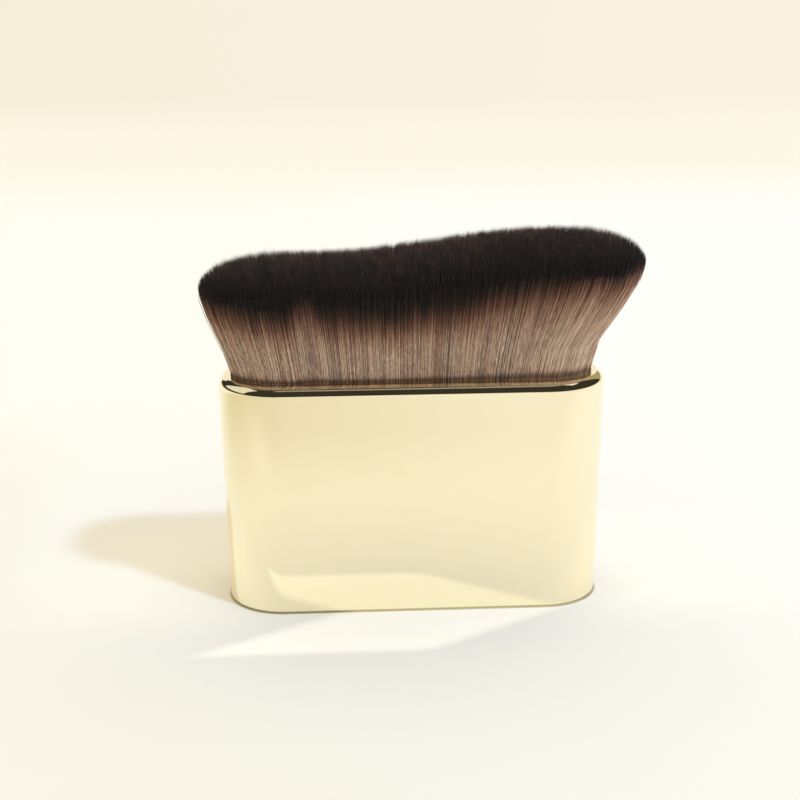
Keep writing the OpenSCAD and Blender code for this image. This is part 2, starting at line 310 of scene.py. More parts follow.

# %% [markdown]
# ### Light from the handle
# The plated face throws the key light back onto the floor, in a crisp slanted patch, and the side
# and back walls send a weak warm light into the shadow. A renderer finds such light slowly and
# with much noise, so this light is painted on the floor as a glow of its own. Distance from the handle is
# counted from its
# rounded outline: the length of what lies past the corner centres, less the corner radius. A thin
# dark ring of painted contact shadow hugs that outline, where the base edge rolls under and no light gets in.

# %% Light from the handle
OUTLINE_R = 10.3 * MM
CENTRE_X, CENTRE_Y = 23.0 * MM, 1.5 * MM
PAINTED_CONTACT_SHADOW = "#ABA58E"
PAINTED_CONTACT_SHADOW_SPAN = (0.45, 0)
PAINTED_BESIDE_LIGHT = (0.09, 0.075, 0.03, 1.0)
BESIDE_REACH, BESIDE_FROM_FRONT = (50, 5), (-25, -5)
PAINTED_PATCH_LIGHT = (0.2, 0.185, 0.145, 1.0)
PATCH_SLANT = 1.55
PATCH_RIGHT_EDGE, PATCH_LEFT_EDGE = (47, 41), (2, 9)
PATCH_NEAR_EDGE, PATCH_FAR_EDGE = (29, 26), (8, 10)


def past_centre(value, centre):
    """How far a place lies past a corner's centre, on either side, or 0 between the two."""
    return floor_math("MAXIMUM", floor_math("SUBTRACT", floor_math("ABSOLUTE", value), centre), 0.0)


past_x, past_y = past_centre(floor_x, CENTRE_X), past_centre(floor_y, CENTRE_Y)
squares = floor_math("ADD", floor_math("MULTIPLY", past_x, past_x), floor_math("MULTIPLY", past_y, past_y))
outside = floor_math("SUBTRACT", floor_math("SQRT", squares), OUTLINE_R)
beside = floor_math("MULTIPLY", floor_step(outside, *BESIDE_REACH), floor_step(floor_y, *BESIDE_FROM_FRONT))
# Painted contact shadow: a dark ring mixed into the floor's colour round the base
floor_tone = floor_mix(floor_step(outside, *PAINTED_CONTACT_SHADOW_SPAN), floor_tone, linear(PAINTED_CONTACT_SHADOW))
in_front = floor_math("MAXIMUM", floor_math("MULTIPLY", floor_y, -1.0), 0.0)
slanted = floor_math("ADD", floor_x, floor_math("MULTIPLY", in_front, PATCH_SLANT))
painted_patch_share = floor_math("MULTIPLY", floor_step(slanted, *PATCH_RIGHT_EDGE), floor_step(slanted, *PATCH_LEFT_EDGE))
painted_patch_share = floor_math("MULTIPLY", painted_patch_share, floor_step(in_front, *PATCH_NEAR_EDGE))
painted_patch_share = floor_math("MULTIPLY", painted_patch_share, floor_step(in_front, *PATCH_FAR_EDGE))
paper = add_node(tree, "ShaderNodeBsdfDiffuse", Color=floor_tone, Roughness=0.0)
# Painted light: the floor glows beside the handle and in the key light's patch, though it is no lamp
painted_wall_light = add_node(tree, "ShaderNodeEmission", Color=PAINTED_BESIDE_LIGHT, Strength=beside)
painted_key_light = add_node(tree, "ShaderNodeEmission", Color=PAINTED_PATCH_LIGHT, Strength=painted_patch_share)
painted_glow = add_node(tree, "ShaderNodeAddShader", _0=painted_wall_light.outputs[0], _1=painted_key_light.outputs[0])
paper_and_painted_light = add_node(tree, "ShaderNodeAddShader", _0=paper.outputs[0], _1=painted_glow.outputs[0])
haze = add_node(tree, "ShaderNodeEmission", Color=haze_tone, Strength=1.0)
sweep = add_node(tree, "ShaderNodeMixShader", Fac=floor_step(floor_y, *PAPER_TO_HAZE),
                 _1=paper_and_painted_light.outputs[0], _2=haze.outputs[0])
finish_material(tree, sweep)
floor_points = FLOOR_HALF * np.array([[-1, -1, 0], [1, -1, 0], [1, 1, 0], [-1, 1, 0]], float)
floor = mesh_from("floor", floor_points, np.array([[0, 1, 2, 3]]), floor_material)

# %% [markdown]
# ### The room in the mirror
# The room is a dome of panels, each between two bearings and two heights. A bearing is the angle
# round from the front, positive to the right. The dark walls and ceiling go all the way round,
# except low behind the brush, where the pale backdrop shows. The softbox at the left makes the
# pale lens at the left end of the lip, and the small one high at the right makes the glint near
# its right end. A dim lamp rail overhead draws the thin line along the lip, and a curtain at the
# right, well back, turns the lip's right end olive.

# %% Room panels
ROOM_RADIUS = 700.0
ROOM_STEP = math.radians(5.0)


def room_panel(name, colour, bearings, heights, radius):
    """Part of a dome round the origin, seen by mirrors only. Angles are in degrees."""
    material, tree = new_material(name)
    finish_material(tree, add_node(tree, "ShaderNodeEmission", Color=linear(colour), Strength=1.0))
    bearing, height = (np.radians(span) for span in (bearings, heights))
    across = np.linspace(*bearing, 2 + int(np.ptp(bearing) / ROOM_STEP))
    upwards = np.linspace(*height, 2 + int(np.ptp(height) / ROOM_STEP))
    turn, climb = np.meshgrid(across, upwards, indexing="ij")
    points = radius * np.stack([np.sin(turn) * np.cos(climb), -np.cos(turn) * np.cos(climb),
                                np.sin(climb)], axis=2)
    columns = len(upwards)
    corner = (np.arange(len(across) - 1)[:, None] * columns + np.arange(columns - 1)[None, :]).reshape(-1, 1)
    panel = mesh_from(name, points.reshape(-1, 3), corner + np.array([0, columns, columns + 1, 1]), material)
    panel.visible_camera = False
    panel.visible_diffuse = False
    panel.visible_shadow = False
    panel.visible_transmission = False


room_panel("dark_studio_walls", "#35322C", (-152.0, 134.0), (10.0, 90.0), ROOM_RADIUS)
room_panel("dark_studio_back", "#35322C", (134.0, 208.0), (24.0, 90.0), ROOM_RADIUS)
room_panel("left_softbox", "#E6E0D2", (-128.0, -72.0), (20.0, 60.0), 0.97 * ROOM_RADIUS)
room_panel("right_softbox", "#FFFBF6", (74.0, 104.0), (52.0, 66.0), 0.95 * ROOM_RADIUS)
room_panel("lamp_rail", "#9A958A", (-30.0, 74.0), (66.0, 80.0), 0.95 * ROOM_RADIUS)
room_panel("olive_curtain", "#A89E78", (128.0, 158.0), (12.0, 50.0), 0.97 * ROOM_RADIUS)

# %% [markdown]
# ## Handle shell
# The real shell is moulded in one piece: leaning walls, a rounded lip, a mouth that takes the
# bristle cup, a ledge that the cup stands on and a cavity that opens at the base. A bevelled
# extrusion would do for the outside, but the lip changes width between the ends and the faces.
# So the shell is a stack of rounded rectangles, and every one has the same number of points, which
# makes the stack one closed grid. Straight runs are divided finely near their ends, so that the
# mirror finish stays flat between the edges.

# %% Rounded loops
ARC_STEPS, RUN_STEPS = 20, 18


def graded(start, end, steps):
    """Values from start to end, closest together near both: half a cosine wave along the run."""
    t = (1.0 - np.cos(np.linspace(0.0, math.pi, steps + 1))) / 2.0
    return start + (end - start) * t


def loop_plan(arc_steps, run_steps):
    """Corner signs and angle of each point round a rounded rectangle, anticlockwise from above.

    On an arc the signs stay and the angle turns. On a straight run the angle stays and a sign
    slides from one corner to the next."""
    signs = [(1, 1), (-1, 1), (-1, -1), (1, -1)]
    rows = []
    for quarter, (sx, sy) in enumerate(signs):
        next_x, next_y = signs[(quarter + 1) % 4]
        turn = np.linspace(0.0, math.pi / 2, arc_steps + 1) + quarter * math.pi / 2
        rows.append(np.stack([np.full_like(turn, sx), np.full_like(turn, sy), turn], axis=1))
        slide = graded(0.0, 1.0, run_steps)[1:-1]
        rows.append(np.stack([sx + (next_x - sx) * slide, sy + (next_y - sy) * slide,
                              np.full_like(slide, turn[-1])], axis=1))
    return np.concatenate(rows)


def stack_loops(half_w, half_d, radius, height, plan):
    """Points of a stack of rounded rectangles, shape (rows, columns, 3).

    Each point is its corner's centre, at the half sizes less the radius, plus the radius turned
    by the angle."""
    half_w, half_d, radius, height = (np.asarray(v, float)[:, None] for v in (half_w, half_d, radius, height))
    x = plan[:, 0] * (half_w - radius) + radius * np.cos(plan[:, 2])
    y = plan[:, 1] * (half_d - radius) + radius * np.sin(plan[:, 2])
    return np.stack([x, y, np.broadcast_to(height, x.shape)], axis=2)


def grid_faces(rows, columns, close_rows):
    """Quads of a grid whose columns close into a ring, and whose rows may close too."""
    row = np.arange(rows if close_rows else rows - 1)[:, None]
    column = np.arange(columns)[None, :]
    after, beside = (row + 1) % rows, (column + 1) % columns
    quads = np.stack([row * columns + column, row * columns + beside,
                      after * columns + beside, after * columns + column], axis=2)
    return quads.reshape(-1, 4)

# %% [markdown]
# The wall's section is drawn as a list of such loops, from the base edge up the outside, over the
# lip, down the mouth to the ledge and the cavity, and back to the base. A lathe's profile works the
# same way, but here each point is an inset from the outline and not a radius.

# %% Section of the shell's wall
HALF_W, HALF_D, HANDLE_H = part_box("handle_shell")[1] / MM
CORNER_R = 11.0
BASE_INSET, BASE_EDGE_R = 0.7, 0.6
LIP_END_W, LIP_FACE_W = 2.3, 3.1
LIP_OUTER_R, LIP_INNER_R = 1.8, 0.3
WALL_T, LEDGE_W, LEDGE_T = 1.8, 1.8, 1.2
REBATE_W, COVER_T = 0.7, 1.6
SEAT_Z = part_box("bristle_cup")[0].z / MM
EDGE_STEPS, WALL_STEPS, INSIDE_STEPS = 10, 40, 8


def offset_row(inset, height):
    """A loop that lies a given distance inside the lip's outline, all round."""
    return (HALF_W - inset, HALF_D - inset, CORNER_R - inset, height)


def mouth_row(outset, height):
    """A loop that lies a given distance outside the mouth, all round."""
    return (HALF_W - LIP_END_W + outset, HALF_D - LIP_FACE_W + outset, CORNER_R - LIP_END_W + outset, height)


quarter = np.linspace(0.0, math.pi / 2, EDGE_STEPS + 1)
share = graded(0.0, 1.0, WALL_STEPS)
wall_top = HANDLE_H - LIP_OUTER_R
cavity = BASE_INSET + WALL_T
ledge_z = SEAT_Z - LEDGE_T
section = [offset_row(BASE_INSET + BASE_EDGE_R * (1 - math.sin(a)), BASE_EDGE_R * (1 - math.cos(a)))
           for a in quarter]
section += [offset_row(BASE_INSET * (1 - s), BASE_EDGE_R + (wall_top - BASE_EDGE_R) * s) for s in share[1:]]
section += [offset_row(LIP_OUTER_R * (1 - math.cos(a)), wall_top + LIP_OUTER_R * math.sin(a))
            for a in quarter[1:]]
section += [mouth_row(LIP_INNER_R * (1 - math.sin(a)), HANDLE_H - LIP_INNER_R * (1 - math.cos(a)))
            for a in quarter]
section += [mouth_row(0.0, z) for z in graded(HANDLE_H - LIP_INNER_R, SEAT_Z, INSIDE_STEPS)[1:]]
section += [offset_row(cavity + LEDGE_W, SEAT_Z), offset_row(cavity + LEDGE_W, ledge_z)]
section += [offset_row(cavity, z) for z in graded(ledge_z, COVER_T, INSIDE_STEPS)]
section += [offset_row(cavity - REBATE_W, COVER_T), offset_row(cavity - REBATE_W, 0.0)]
section = np.array(section)
print("shell section:", len(section), "loops, walls", round(wall_top - BASE_EDGE_R, 1), "mm high")

# %% [markdown]
# ### Plated plastic
# The finish is a pale gold plating over polished ABS, laid on by vacuum or in a bath. It is a
# metal to the eye: all its colour is in the reflection, and it has none of its own. The plating
# copies the moulding under it, which is never quite flat, so a very faint wave a few millimetres
# long bends the reflections. Fine dulling from handling comes from a little roughness.

# %% Plating material
PLATE_WAVE_MM, PLATE_HAZE_MM = 9.0, 2.5
PLATE_WAVE_HEIGHT = 0.3 * MM
PLATE_CLEAR, PLATE_DULL = 0.03, 0.05


def pattern_scale(size_mm):
    """Noise scale in metres that gives features of a real size."""
    return 1.0 / (size_mm * MM)


def plated_plastic():
    """Electroplated ABS: a mirror of pale gold with a faint moulding wave and a breath of haze."""
    material, tree = new_material("pale_gold_plated_abs")
    place = add_node(tree, "ShaderNodeTexCoord").outputs["Object"]
    wave = add_node(tree, "ShaderNodeTexNoise", Vector=place, Scale=pattern_scale(PLATE_WAVE_MM),
                    Detail=1.0, Roughness=0.4)
    haze = add_node(tree, "ShaderNodeTexNoise", Vector=place, Scale=pattern_scale(PLATE_HAZE_MM),
                    Detail=3.0, Roughness=0.6)
    roughness = add_node(tree, "ShaderNodeMapRange", Value=haze.outputs["Fac"], From_Min=0.3,
                         From_Max=0.7, To_Min=PLATE_CLEAR, To_Max=PLATE_DULL)
    bump = add_node(tree, "ShaderNodeBump", Strength=0.06, Distance=PLATE_WAVE_HEIGHT,
                    Height=wave.outputs["Fac"])
    tone = add_node(tree, "ShaderNodeMapRange", Value=haze.outputs["Fac"], From_Min=0.3, From_Max=0.7)
    colour = mix_colours(tree, tone.outputs[0], linear("#FDF4D3"), linear("#FEF5D8"))
    shader = add_node(tree, "ShaderNodeBsdfPrincipled", Base_Color=colour, Metallic=1.0,
                      Roughness=roughness.outputs[0], Normal=bump.outputs[0])
    finish_material(tree, shader)
    return material


plating = plated_plastic()

# %% [markdown]
# The section's loops, the grid's faces and the plating make the shell. Edges sharper than the
# given angle stay crisp, such as those of the ledge, and the rest is shaded smooth.

# %% Build the shell
SHARP_ANGLE = math.radians(40)
shell_points = stack_loops(*section.T, loop_plan(ARC_STEPS, RUN_STEPS))
shell_faces = grid_faces(*shell_points.shape[:2], close_rows=True)
shell = mesh_from("plated_shell", shell_points.reshape(-1, 3), shell_faces, plating, SHARP_ANGLE)
declare(shell, "gold_plated_plastic", "handle_shell")

# %% [markdown]
# ## Hidden pieces
# The cover in the base, the ballast with its foam pad, the frame, the cup and its resin hardly
# ever show, but they are part of the brush. Their solids are right as they are, so each one keeps
# its mesh and only gets the finish of what it is made of.

# %% Finishes of the hidden pieces
def inner_material(name, dark, light, grain_mm, roughness, metallic=0.0, bump_depth=0.05,
                   stretch=(1, 1, 1)):
    """A finish with one grain of a real size that shifts its colour a little and lifts its surface."""
    material, tree = new_material(name)
    place = add_node(tree, "ShaderNodeTexCoord").outputs["Object"]
    drawn = add_node(tree, "ShaderNodeMapping", Vector=place, Scale=stretch)
    grain = add_node(tree, "ShaderNodeTexNoise", Vector=drawn.outputs[0], Scale=pattern_scale(grain_mm),
                     Detail=4.0, Roughness=0.6)
    ramp = add_node(tree, "ShaderNodeValToRGB", Fac=grain.outputs["Fac"])
    fill_ramp(ramp, [(0.3, dark), (0.7, light)])
    bump = add_node(tree, "ShaderNodeBump", Strength=0.5, Distance=bump_depth * MM,
                    Height=grain.outputs["Fac"])
    shader = add_node(tree, "ShaderNodeBsdfPrincipled", Base_Color=ramp.outputs["Color"],
                      Metallic=metallic, Roughness=roughness, Normal=bump.outputs[0])
    finish_material(tree, shader)
    return material


# Closed-cell foam: matt, with open cells of about half a millimetre where it was cut
foam = inner_material("cut_closed_cell_foam", "#2A2A2B", "#4A4A4C", 0.6, 0.95, bump_depth=0.25)
# Bright-drawn steel bar: satin, with fine lines along its length
steel = inner_material("drawn_steel_bar", "#8A8C8E", "#A3A5A7", 0.5, 0.32, 1.0, 0.01, (0.05, 1, 1))
# Moulded black ABS: even, with a fine spark-eroded texture from the tool
black_abs = inner_material("moulded_black_abs", "#1C1C1D", "#262627", 0.3, 0.55, bump_depth=0.02)
# Deep-drawn aluminium: satin, with draw lines up its wall
aluminium = inner_material("deep_drawn_aluminium", "#C2C4C5", "#D3D4D5", 0.4, 0.28, 1.0, 0.01, (1, 1, 0.06))
# Cured epoxy: glossy amber, slightly cloudy where fibre ends stirred air into it
resin = inner_material("cured_amber_epoxy", "#8A6434", "#B08A4C", 2.0, 0.15, bump_depth=0.05)

for node, finish in (("base_cover", plating), ("foam_pad", foam), ("ballast_bar", steel),
                     ("inner_frame", black_abs), ("bristle_cup", aluminium), ("root_resin", resin)):
    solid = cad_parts[node]
    solid.data.materials.clear()
    solid.data.materials.append(finish)

# %% [markdown]
# ## The head of hair
# The real head holds tens of thousands of tapered synthetic fibres, bonded at their roots, which
# flare as they leave the lip and were dipped in dye so that their tips are nearly black. Blender's
# own hair could draw them, but an exported part keeps only meshes. So each fibre is a slim
# three-sided tube that ends in a point, and all of them come from a few array sums: a fibre has
# two numbers, u across and v deep, from -1 to 1, that place it in the plan of the head at its
# roots, at the lip and at its tips. By these alone, no two fibres would cross.

# %% Plans of the head
LIP_GAP, FIBRE_ROOM, ROOT_MARGIN = 0.1, 0.1, 0.8
HEAD_R = 12.4
EVEN_SPREAD = 0.45
bed_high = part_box("root_resin")[1] / MM
low_end, high_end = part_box("bristles_low")[0] / MM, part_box("bristles_high")[1] / MM
ROOT_T = 2.2
ROOT_TOP_Z = bed_high.z + ROOT_T
ROOT_R = CORNER_R - LIP_END_W - (HALF_W - LIP_END_W - bed_high.x)

# A plan is the reach to the low end, the reach to the high end, half the depth and the corner radius
FIELD_HALF_W = bed_high.x - ROOT_MARGIN
FIELD_HALF_D = bed_high.y - ROOT_MARGIN
roots_plan = (FIELD_HALF_W, FIELD_HALF_W, FIELD_HALF_D, ROOT_R - ROOT_MARGIN)
mouth_half_w, mouth_half_d = HALF_W - LIP_END_W - LIP_GAP, HALF_D - LIP_FACE_W - LIP_GAP
lip_plan = (mouth_half_w, mouth_half_w, mouth_half_d, CORNER_R - LIP_END_W - LIP_GAP)
tips_plan = (-low_end.x - FIBRE_ROOM, high_end.x - FIBRE_ROOM, high_end.y, HEAD_R)


def spread(share, reach):
    """Distance from the middle: even near the middle, and widening with the cube of the share."""
    widening = EVEN_SPREAD * share + (1 - EVEN_SPREAD) * share ** 3
    return share * FIELD_HALF_W + (reach - FIELD_HALF_W) * widening


def row_end(plan, u, y):
    """Half width of a plan at depth y: its reach less the radius plus the circle's half chord there."""
    low_reach, high_reach, half_d, radius = plan
    past = np.clip(np.abs(y) - half_d + radius, 0.0, radius)
    return np.where(u < 0, low_reach, high_reach) - radius + np.sqrt(radius ** 2 - past ** 2)


def place_in(plan, u, v, drawn_from):
    """Places (x, y) of fibres in a plan.

    Across, a fibre lies at its spread. Past the share drawn_from it is drawn in, so that the last
    one meets the plan's rounded end."""
    share, y = np.abs(u), v * plan[2]
    reach = np.where(u < 0, plan[0], plan[1])
    x, edge = spread(share, reach), spread(drawn_from, reach)
    drawn = edge + (x - edge) * (row_end(plan, u, y) - edge) / (reach - edge)
    return np.sign(u) * np.where(share > drawn_from, drawn, x), y

# %% [markdown]
# ### The wave-cut top
# The head was cut so that its crest is low at one end and high at the other, with a soft rise
# between. Towards the rim the tips fall away in a rounded shoulder. A superellipse does this: the
# fall stays small over most of the top and steepens close to the edge.

# %% Height of the tips
LOW_CREST = 21.2
HIGH_CREST = high_end.z - HANDLE_H
RISE_START, RISE_END = -16.0, 24.0
ROUND_LOW, ROUND_HIGH = 19.0, 13.8
RIM_DROP, RIM_POWER, CORNER_POWER = 6.0, 2.4, 6.0


def tip_height(u, v, x, y):
    """Height of the tips above the table.

    The crest follows a smooth step along x. The rim's reach grows from 0 on the crest to 1 at the
    edge. It takes the larger of the reach along an end's rounding and the reach across the depth,
    blended by a high power, and the fall is one less the height of a superellipse at that reach."""
    crest = LOW_CREST + (HIGH_CREST - LOW_CREST) * smooth_step((x - RISE_START) / (RISE_END - RISE_START))
    inside = row_end(tips_plan, u, y) - np.abs(x)
    along = np.clip(1.0 - inside / np.where(u < 0, ROUND_LOW, ROUND_HIGH), 0.0, 1.0)
    across = np.clip(np.abs(y) / tips_plan[2], 0.0, 1.0)
    reached = np.clip((along ** CORNER_POWER + across ** CORNER_POWER) ** (1 / CORNER_POWER), 0.0, 1.0)
    fall = 1.0 - (1.0 - reached ** RIM_POWER) ** (1 / RIM_POWER)
    return HANDLE_H + crest - RIM_DROP * fall

# %% [markdown]
# ### Where the fibres stand
# A jittered grid covers the plan evenly: one fibre in each cell, moved at random inside it. Pure
# chance would leave bald spots and knots. Real hair also gathers into small tufts, so each fibre
# is drawn a little towards the nearest of some loose centres as it nears its tip.

# %% Fibre numbers and tufts
COLUMNS, ROWS, JITTER = 420, 132, 0.95
TUFT_COLUMNS, TUFT_ROWS, TUFT_JITTER = 72, 24, 0.9
random = np.random.default_rng(20260728)


def jittered_cells(columns, rows, jitter):
    """One place in each cell of a grid over -1 to 1 both ways, moved by half a cell times the jitter."""
    column, row = np.meshgrid(np.arange(columns), np.arange(rows), indexing="ij")
    moved = random.uniform(-0.5, 0.5, (2, columns, rows)) * jitter
    return 2 * (column + 0.5 + moved[0]) / columns - 1, 2 * (row + 0.5 + moved[1]) / rows - 1


u, v = (grid.ravel() for grid in jittered_cells(COLUMNS, ROWS, JITTER))
tuft_u, tuft_v = jittered_cells(TUFT_COLUMNS, TUFT_ROWS, TUFT_JITTER)
tuft_tone = random.normal(0.0, 1.0, tuft_u.shape)
tuft_rise = random.normal(0.0, 1.0, tuft_u.shape)


def nearest_tuft(u, v):
    """Grid place (column, row) of the closest tuft centre, tried in the nine cells round each fibre."""
    column = np.clip(((u + 1) / 2 * TUFT_COLUMNS).astype(int), 0, TUFT_COLUMNS - 1)
    row = np.clip(((v + 1) / 2 * TUFT_ROWS).astype(int), 0, TUFT_ROWS - 1)
    best = np.full(u.shape, np.inf)
    best_column, best_row = column.copy(), row.copy()
    across, deep = tips_plan[1], tips_plan[2]
    for step_column in (-1, 0, 1):
        for step_row in (-1, 0, 1):
            c = np.clip(column + step_column, 0, TUFT_COLUMNS - 1)
            r = np.clip(row + step_row, 0, TUFT_ROWS - 1)
            distance = np.hypot((tuft_u[c, r] - u) * across, (tuft_v[c, r] - v) * deep)
            closer = distance < best
            best = np.where(closer, distance, best)
            best_column, best_row = np.where(closer, c, best_column), np.where(closer, r, best_row)
    return best_column, best_row


tuft = nearest_tuft(u, v)
print("fibres:", u.size, "in", tuft_u.size, "tufts")

# %% [markdown]
# ### The run of a fibre
# A fibre starts in the bonded roots, passes the lip upright, and then flares in nearly a straight
# line. Here and there a lock of them leans a little to one side, which a few broad waves give, and
# beside the parting one lock in front is swept over its neighbours. Some tips stand a little out
# of the cut top. At the rim of the head all of this fades away, so that its outline stays clean.

# %% Tips of the fibres
DRAWN_FROM = 0.53
TUFT_PULL, TUFT_LENGTH = 0.12, 0.08
STRAY_TIP, STRAY_LENGTH, TIP_DROP = 0.28, 0.3, 0.2
LOCK_LEAN, LOCK_MM = 0.5, 11.0
SMALL_LEAN, SMALL_LOCK_MM = 0.3, 3.5
SWEPT_X, SWEPT_W, SWEPT_BY = -23.5, 3.4, 1.9
RIM_KEEP_POWER = 8


def broad_waves(x, y, wave_mm, count=12):
    """Smooth random field of about unit size: sine waves of about that length in many directions."""
    total = np.zeros_like(x)
    for direction, phase, stretch in random.uniform(0.0, 1.0, (count, 3)):
        angle, length = direction * math.pi, wave_mm * (0.6 + 0.8 * stretch)
        along = x * math.cos(angle) + y * math.sin(angle)
        total += np.sin(2 * math.pi * (along / length + phase))
    return total * math.sqrt(2.0 / count)


root_x, root_y = place_in(roots_plan, u, v, DRAWN_FROM)
lip_x, lip_y = place_in(lip_plan, u, v, DRAWN_FROM)
tip_x, tip_y = place_in(tips_plan, u, v, DRAWN_FROM)
centre_x, centre_y = place_in(tips_plan, tuft_u[tuft], tuft_v[tuft], DRAWN_FROM)
keep_rim = 1.0 - np.maximum(np.abs(u), np.abs(v)) ** RIM_KEEP_POWER
lean = LOCK_LEAN * broad_waves(tip_x, tip_y, LOCK_MM) + SMALL_LEAN * broad_waves(tip_x, tip_y, SMALL_LOCK_MM)
lean *= keep_rim
lean += SWEPT_BY * np.exp(-((tip_x - SWEPT_X) / SWEPT_W) ** 2) * smooth_step(-v) * keep_rim
tip_x = tip_x + TUFT_PULL * (centre_x - tip_x) + STRAY_TIP * keep_rim * random.normal(0.0, 1.0, u.size) + lean
tip_y = tip_y + TUFT_PULL * (centre_y - tip_y) + STRAY_TIP * keep_rim * random.normal(0.0, 1.0, u.size)
tip_z = tip_height(u, v, tip_x, tip_y) + TUFT_LENGTH * tuft_rise[tuft]
stray = random.normal(0.0, 1.0, u.size)
tip_z += STRAY_LENGTH * stray - TIP_DROP

# %% [markdown]
# ### Dye
# The head was dipped tips down, so the dark zone ends along one soft line. That line keeps about
# level along each half of the wave, rises with it in the middle, and climbs at the ends, where
# the fibres lean. Three locks end higher or lower than the rest, and at one place in front the
# hair parts and the pale zone reaches up. Each tuft and fibre took the dye a little higher or
# lower. A fibre's natural tone is partly its own and partly its tuft's. The fibres at the
# ends are paler than those in the middle: painted light, where the ends are less shaded and catch more of the
# light.

# %% Height of the dye line
DYE_LOW_Z, DYE_HIGH_Z = 50.2, 55.1
DYE_RISE_START, DYE_RISE_END = 0.0, 22.0
DYE_LOW_END, DYE_HIGH_END = 2.4, 2.6
DYE_END_POWER = 20
# Locks as place across, width and rise
DYE_LOCKS = [(-26.8, 2.2, -1.8), (26.5, 3.5, 0.7), (33.5, 2.2, -2.0)]
DYE_WAVE, DYE_TUFT, DYE_FIBRE = 0.3, 0.12, 0.35
DYE_WAVE_MM, TONE_WAVE_MM = 9.0, 6.0
TONE_FIBRE, TONE_TUFT, TONE_WAVE = 0.55, 0.3, 0.2
PARTING_X, PARTING_W, PARTING_RISE = -18.6, 2.2, 3.2
LOW_END_PAINTED_LIGHT, HIGH_END_PAINTED_LIGHT = 0.25, 0.8
LOW_END_LIGHT_FROM, HIGH_END_LIGHT_FROM = 0.8, 0.56
TONES = 64
LIGHTEST_TONE = 0.55

rise = smooth_step((tip_x - DYE_RISE_START) / (DYE_RISE_END - DYE_RISE_START))
dye_z = DYE_LOW_Z + (DYE_HIGH_Z - DYE_LOW_Z) * rise
dye_z += np.where(u < 0, DYE_LOW_END, DYE_HIGH_END) * u ** DYE_END_POWER
for lock_x, lock_w, lock_up in DYE_LOCKS:
    dye_z += lock_up * np.exp(-((tip_x - lock_x) / lock_w) ** 2)
dye_z += PARTING_RISE * np.exp(-((tip_x - PARTING_X) / PARTING_W) ** 2) * smooth_step(-v)
dye_z += DYE_WAVE * broad_waves(tip_x, tip_y, DYE_WAVE_MM)
dye_z += DYE_TUFT * random.normal(0.0, 1.0, tuft_u.shape)[tuft]
dye_z += DYE_FIBRE * random.normal(0.0, 1.0, u.size)
tone = TONE_FIBRE * random.uniform(0.0, 1.0, u.size) + TONE_TUFT * tuft_tone[tuft]
tone += TONE_WAVE * broad_waves(tip_x, tip_y, TONE_WAVE_MM)
# Past either end of the tones it folds back
tone = np.abs(tone % 2.0 - 1.0)
# Painted light: fibres near the ends are drawn towards the lightest tone, as if more light reached them
painted_light_from = np.where(u < 0, LOW_END_LIGHT_FROM, HIGH_END_LIGHT_FROM)
painted_end_light = smooth_step((np.abs(u) - painted_light_from) / (1.0 - painted_light_from))
painted_end_light *= np.where(u < 0, LOW_END_PAINTED_LIGHT, HIGH_END_PAINTED_LIGHT)
tone = tone + (LIGHTEST_TONE - tone) * painted_end_light
tone_column = np.clip((tone * TONES).astype(int), 0, TONES - 1)

# %% [markdown]
# ### Centre lines
# Each fibre's line has a point in the roots, at the lip, at two heights below its dye line, at the
# dye line, near its end and at its tip. Putting one on the dye line lets the fibre's own map run
# from 0 at the lip to a half at the dye line, and then on in millimetres. The fibres at the ends
# don't flare in a straight line: they leave the lip more upright and lean most in the middle of
# their run. Every fibre also wobbles a little, partly on its own and partly with its tuft. The
# tips that stray out of the top are thin and let light through, so their map ends high, where the
# finish turns brown: their thinner dye, with that light painted into their colour.

# %% Centre lines
LIP_Z = HANDLE_H - LIP_INNER_R
ROOT_EMBED = 0.5
DYE_SHARE_RANGE = (0.2, 0.9)
BEND_LOW, BEND_HIGH = 0.12, -0.2
CURL_LOW, CURL_HIGH = 0.5, 1.1
FIRST_POINT, SECOND_POINT, END_POINT = 0.36, 0.7, 0.65
WOBBLE, TUFT_WOBBLE = 0.28, 0.2
WOBBLE_AT_POINTS = np.array([0.0, 0.5, 0.8, 1.0, 0.7, 0.0])
DYE_POINT = 3
STRAY_BROWN = 0.4
DYE_MAP, TIP_MAP, MAP_RANGE, MM_PER_MAP = 0.5, 0.98, (0.005, 0.84), 60.0


def run_share(t, bend, curl):
    """Share of the sideways run at height share t: t, a bend largest half-way, and an S-shaped curl."""
    return t + bend * t * (1.0 - t) + curl * t * (1.0 - t) * (2.0 * t - 1.0)


dye_share = np.clip((dye_z - LIP_Z) / (tip_z - LIP_Z), *DYE_SHARE_RANGE)
height_share = np.stack([np.zeros_like(dye_share), FIRST_POINT * dye_share, SECOND_POINT * dye_share,
                         dye_share, (1.0 - END_POINT) * dye_share + END_POINT,
                         np.ones_like(dye_share)], axis=1)
bend = (np.where(u < 0, BEND_LOW, BEND_HIGH) * np.abs(u))[:, None]
curl = (np.where(u < 0, CURL_LOW, CURL_HIGH) * np.abs(u))[:, None]
free_z = LIP_Z + (tip_z - LIP_Z)[:, None] * height_share
free_x = lip_x[:, None] + (tip_x - lip_x)[:, None] * run_share(height_share, bend, curl)
free_y = lip_y[:, None] + (tip_y - lip_y)[:, None] * height_share
wobble_share = WOBBLE_AT_POINTS * keep_rim[:, None]
for free in (free_x, free_y):
    free += WOBBLE * random.normal(0.0, 1.0, free.shape) * wobble_share
    of_tuft = random.normal(0.0, 1.0, (*tuft_u.shape, len(WOBBLE_AT_POINTS)))[tuft]
    free += TUFT_WOBBLE * of_tuft * wobble_share
root_z = np.full((u.size, 1), ROOT_TOP_Z - ROOT_EMBED)
line = np.stack([np.hstack([root_x[:, None], free_x]), np.hstack([root_y[:, None], free_y]),
                 np.hstack([root_z, free_z])], axis=2)
